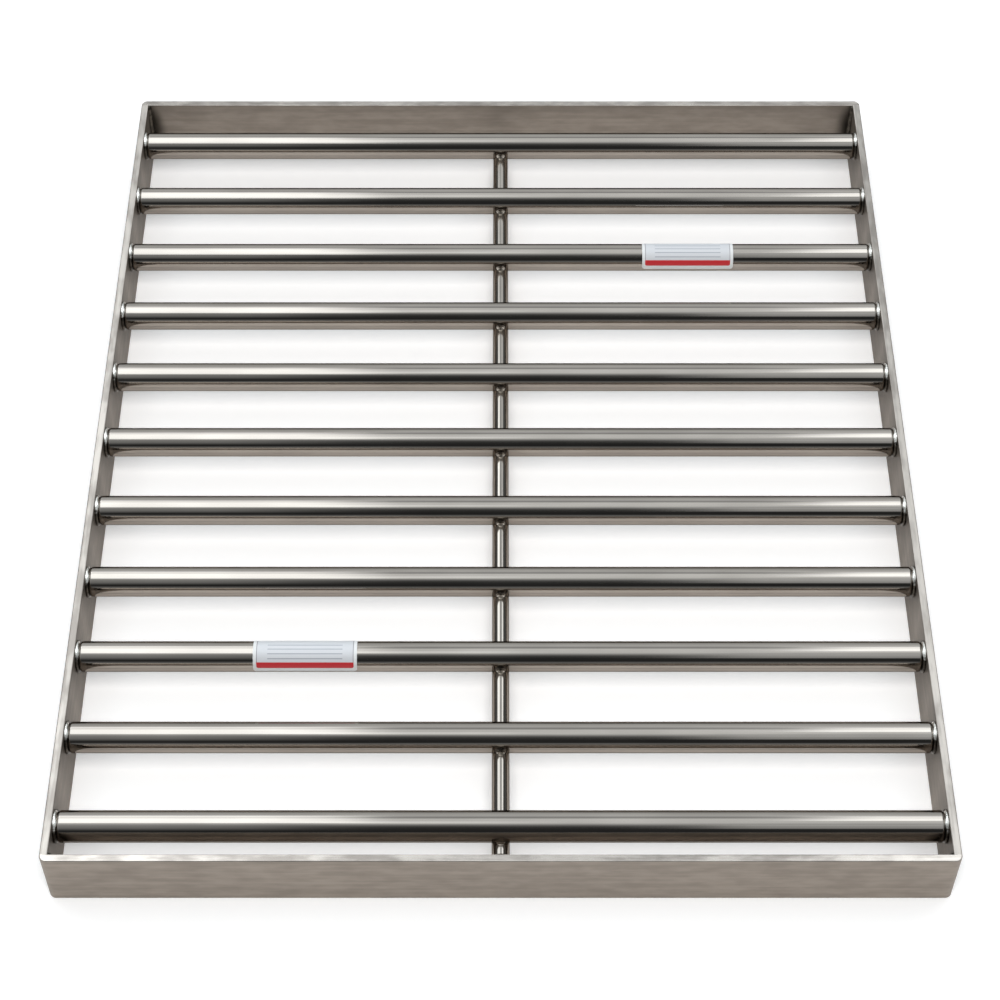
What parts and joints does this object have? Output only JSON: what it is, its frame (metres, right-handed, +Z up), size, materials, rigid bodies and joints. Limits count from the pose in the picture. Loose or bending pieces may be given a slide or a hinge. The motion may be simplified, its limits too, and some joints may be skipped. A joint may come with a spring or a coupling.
{
  "type": "magnetic grate separator",
  "caption": "Rectangular welded stainless frame with round magnetic bars across it and a tie rod under them; loose product falls through while the bars hold iron.",
  "frame": {"origin": "middle of the frame, on the surface that it stands on", "axes": "+X along the bars, +Y from the front rail to the back rail, +Z up"},
  "size_m": [0.7, 0.84, 0.058],
  "materials": {
    "rail": "satin",
    "bar": "polished",
    "rod": "polished",
    "weld": "as welded",
    "magnet": "plated",
    "pole_plate": "turned",
    "label": "printed film"
  },
  "bodies": {
    "root": {"front_rail": "rail", "back_rail": "rail", "left_rail": "rail", "right_rail": "rail", "corner_welds": "weld", "bar_tube_01": "bar", "bar_tube_02": "bar", "bar_tube_03": "bar", "bar_tube_04": "bar", "bar_tube_05": "bar", "bar_tube_06": "bar", "bar_tube_07": "bar", "bar_tube_08": "bar", "bar_tube_09": "bar", "bar_tube_10": "bar", "bar_tube_11": "bar", "end_plugs_01": "bar", "end_plugs_02": "bar", "end_plugs_03": "bar", "end_plugs_04": "bar", "end_plugs_05": "bar", "end_plugs_06": "bar", "end_plugs_07": "bar", "end_plugs_08": "bar", "end_plugs_09": "bar", "end_plugs_10": "bar", "end_plugs_11": "bar", "magnets_01": "magnet", "magnets_02": "magnet", "magnets_03": "magnet", "magnets_04": "magnet", "magnets_05": "magnet", "magnets_06": "magnet", "magnets_07": "magnet", "magnets_08": "magnet", "magnets_09": "magnet", "magnets_10": "magnet", "magnets_11": "magnet", "pole_plates_01": "pole_plate", "pole_plates_02": "pole_plate", "pole_plates_03": "pole_plate", "pole_plates_04": "pole_plate", "pole_plates_05": "pole_plate", "pole_plates_06": "pole_plate", "pole_plates_07": "pole_plate", "pole_plates_08": "pole_plate", "pole_plates_09": "pole_plate", "pole_plates_10": "pole_plate", "pole_plates_11": "pole_plate", "left_ring_welds": "weld", "right_ring_welds": "weld", "tie_rod": "rod", "tack_welds": "weld", "front_label": "label", "back_label": "label"}
  },
  "joints": []
}
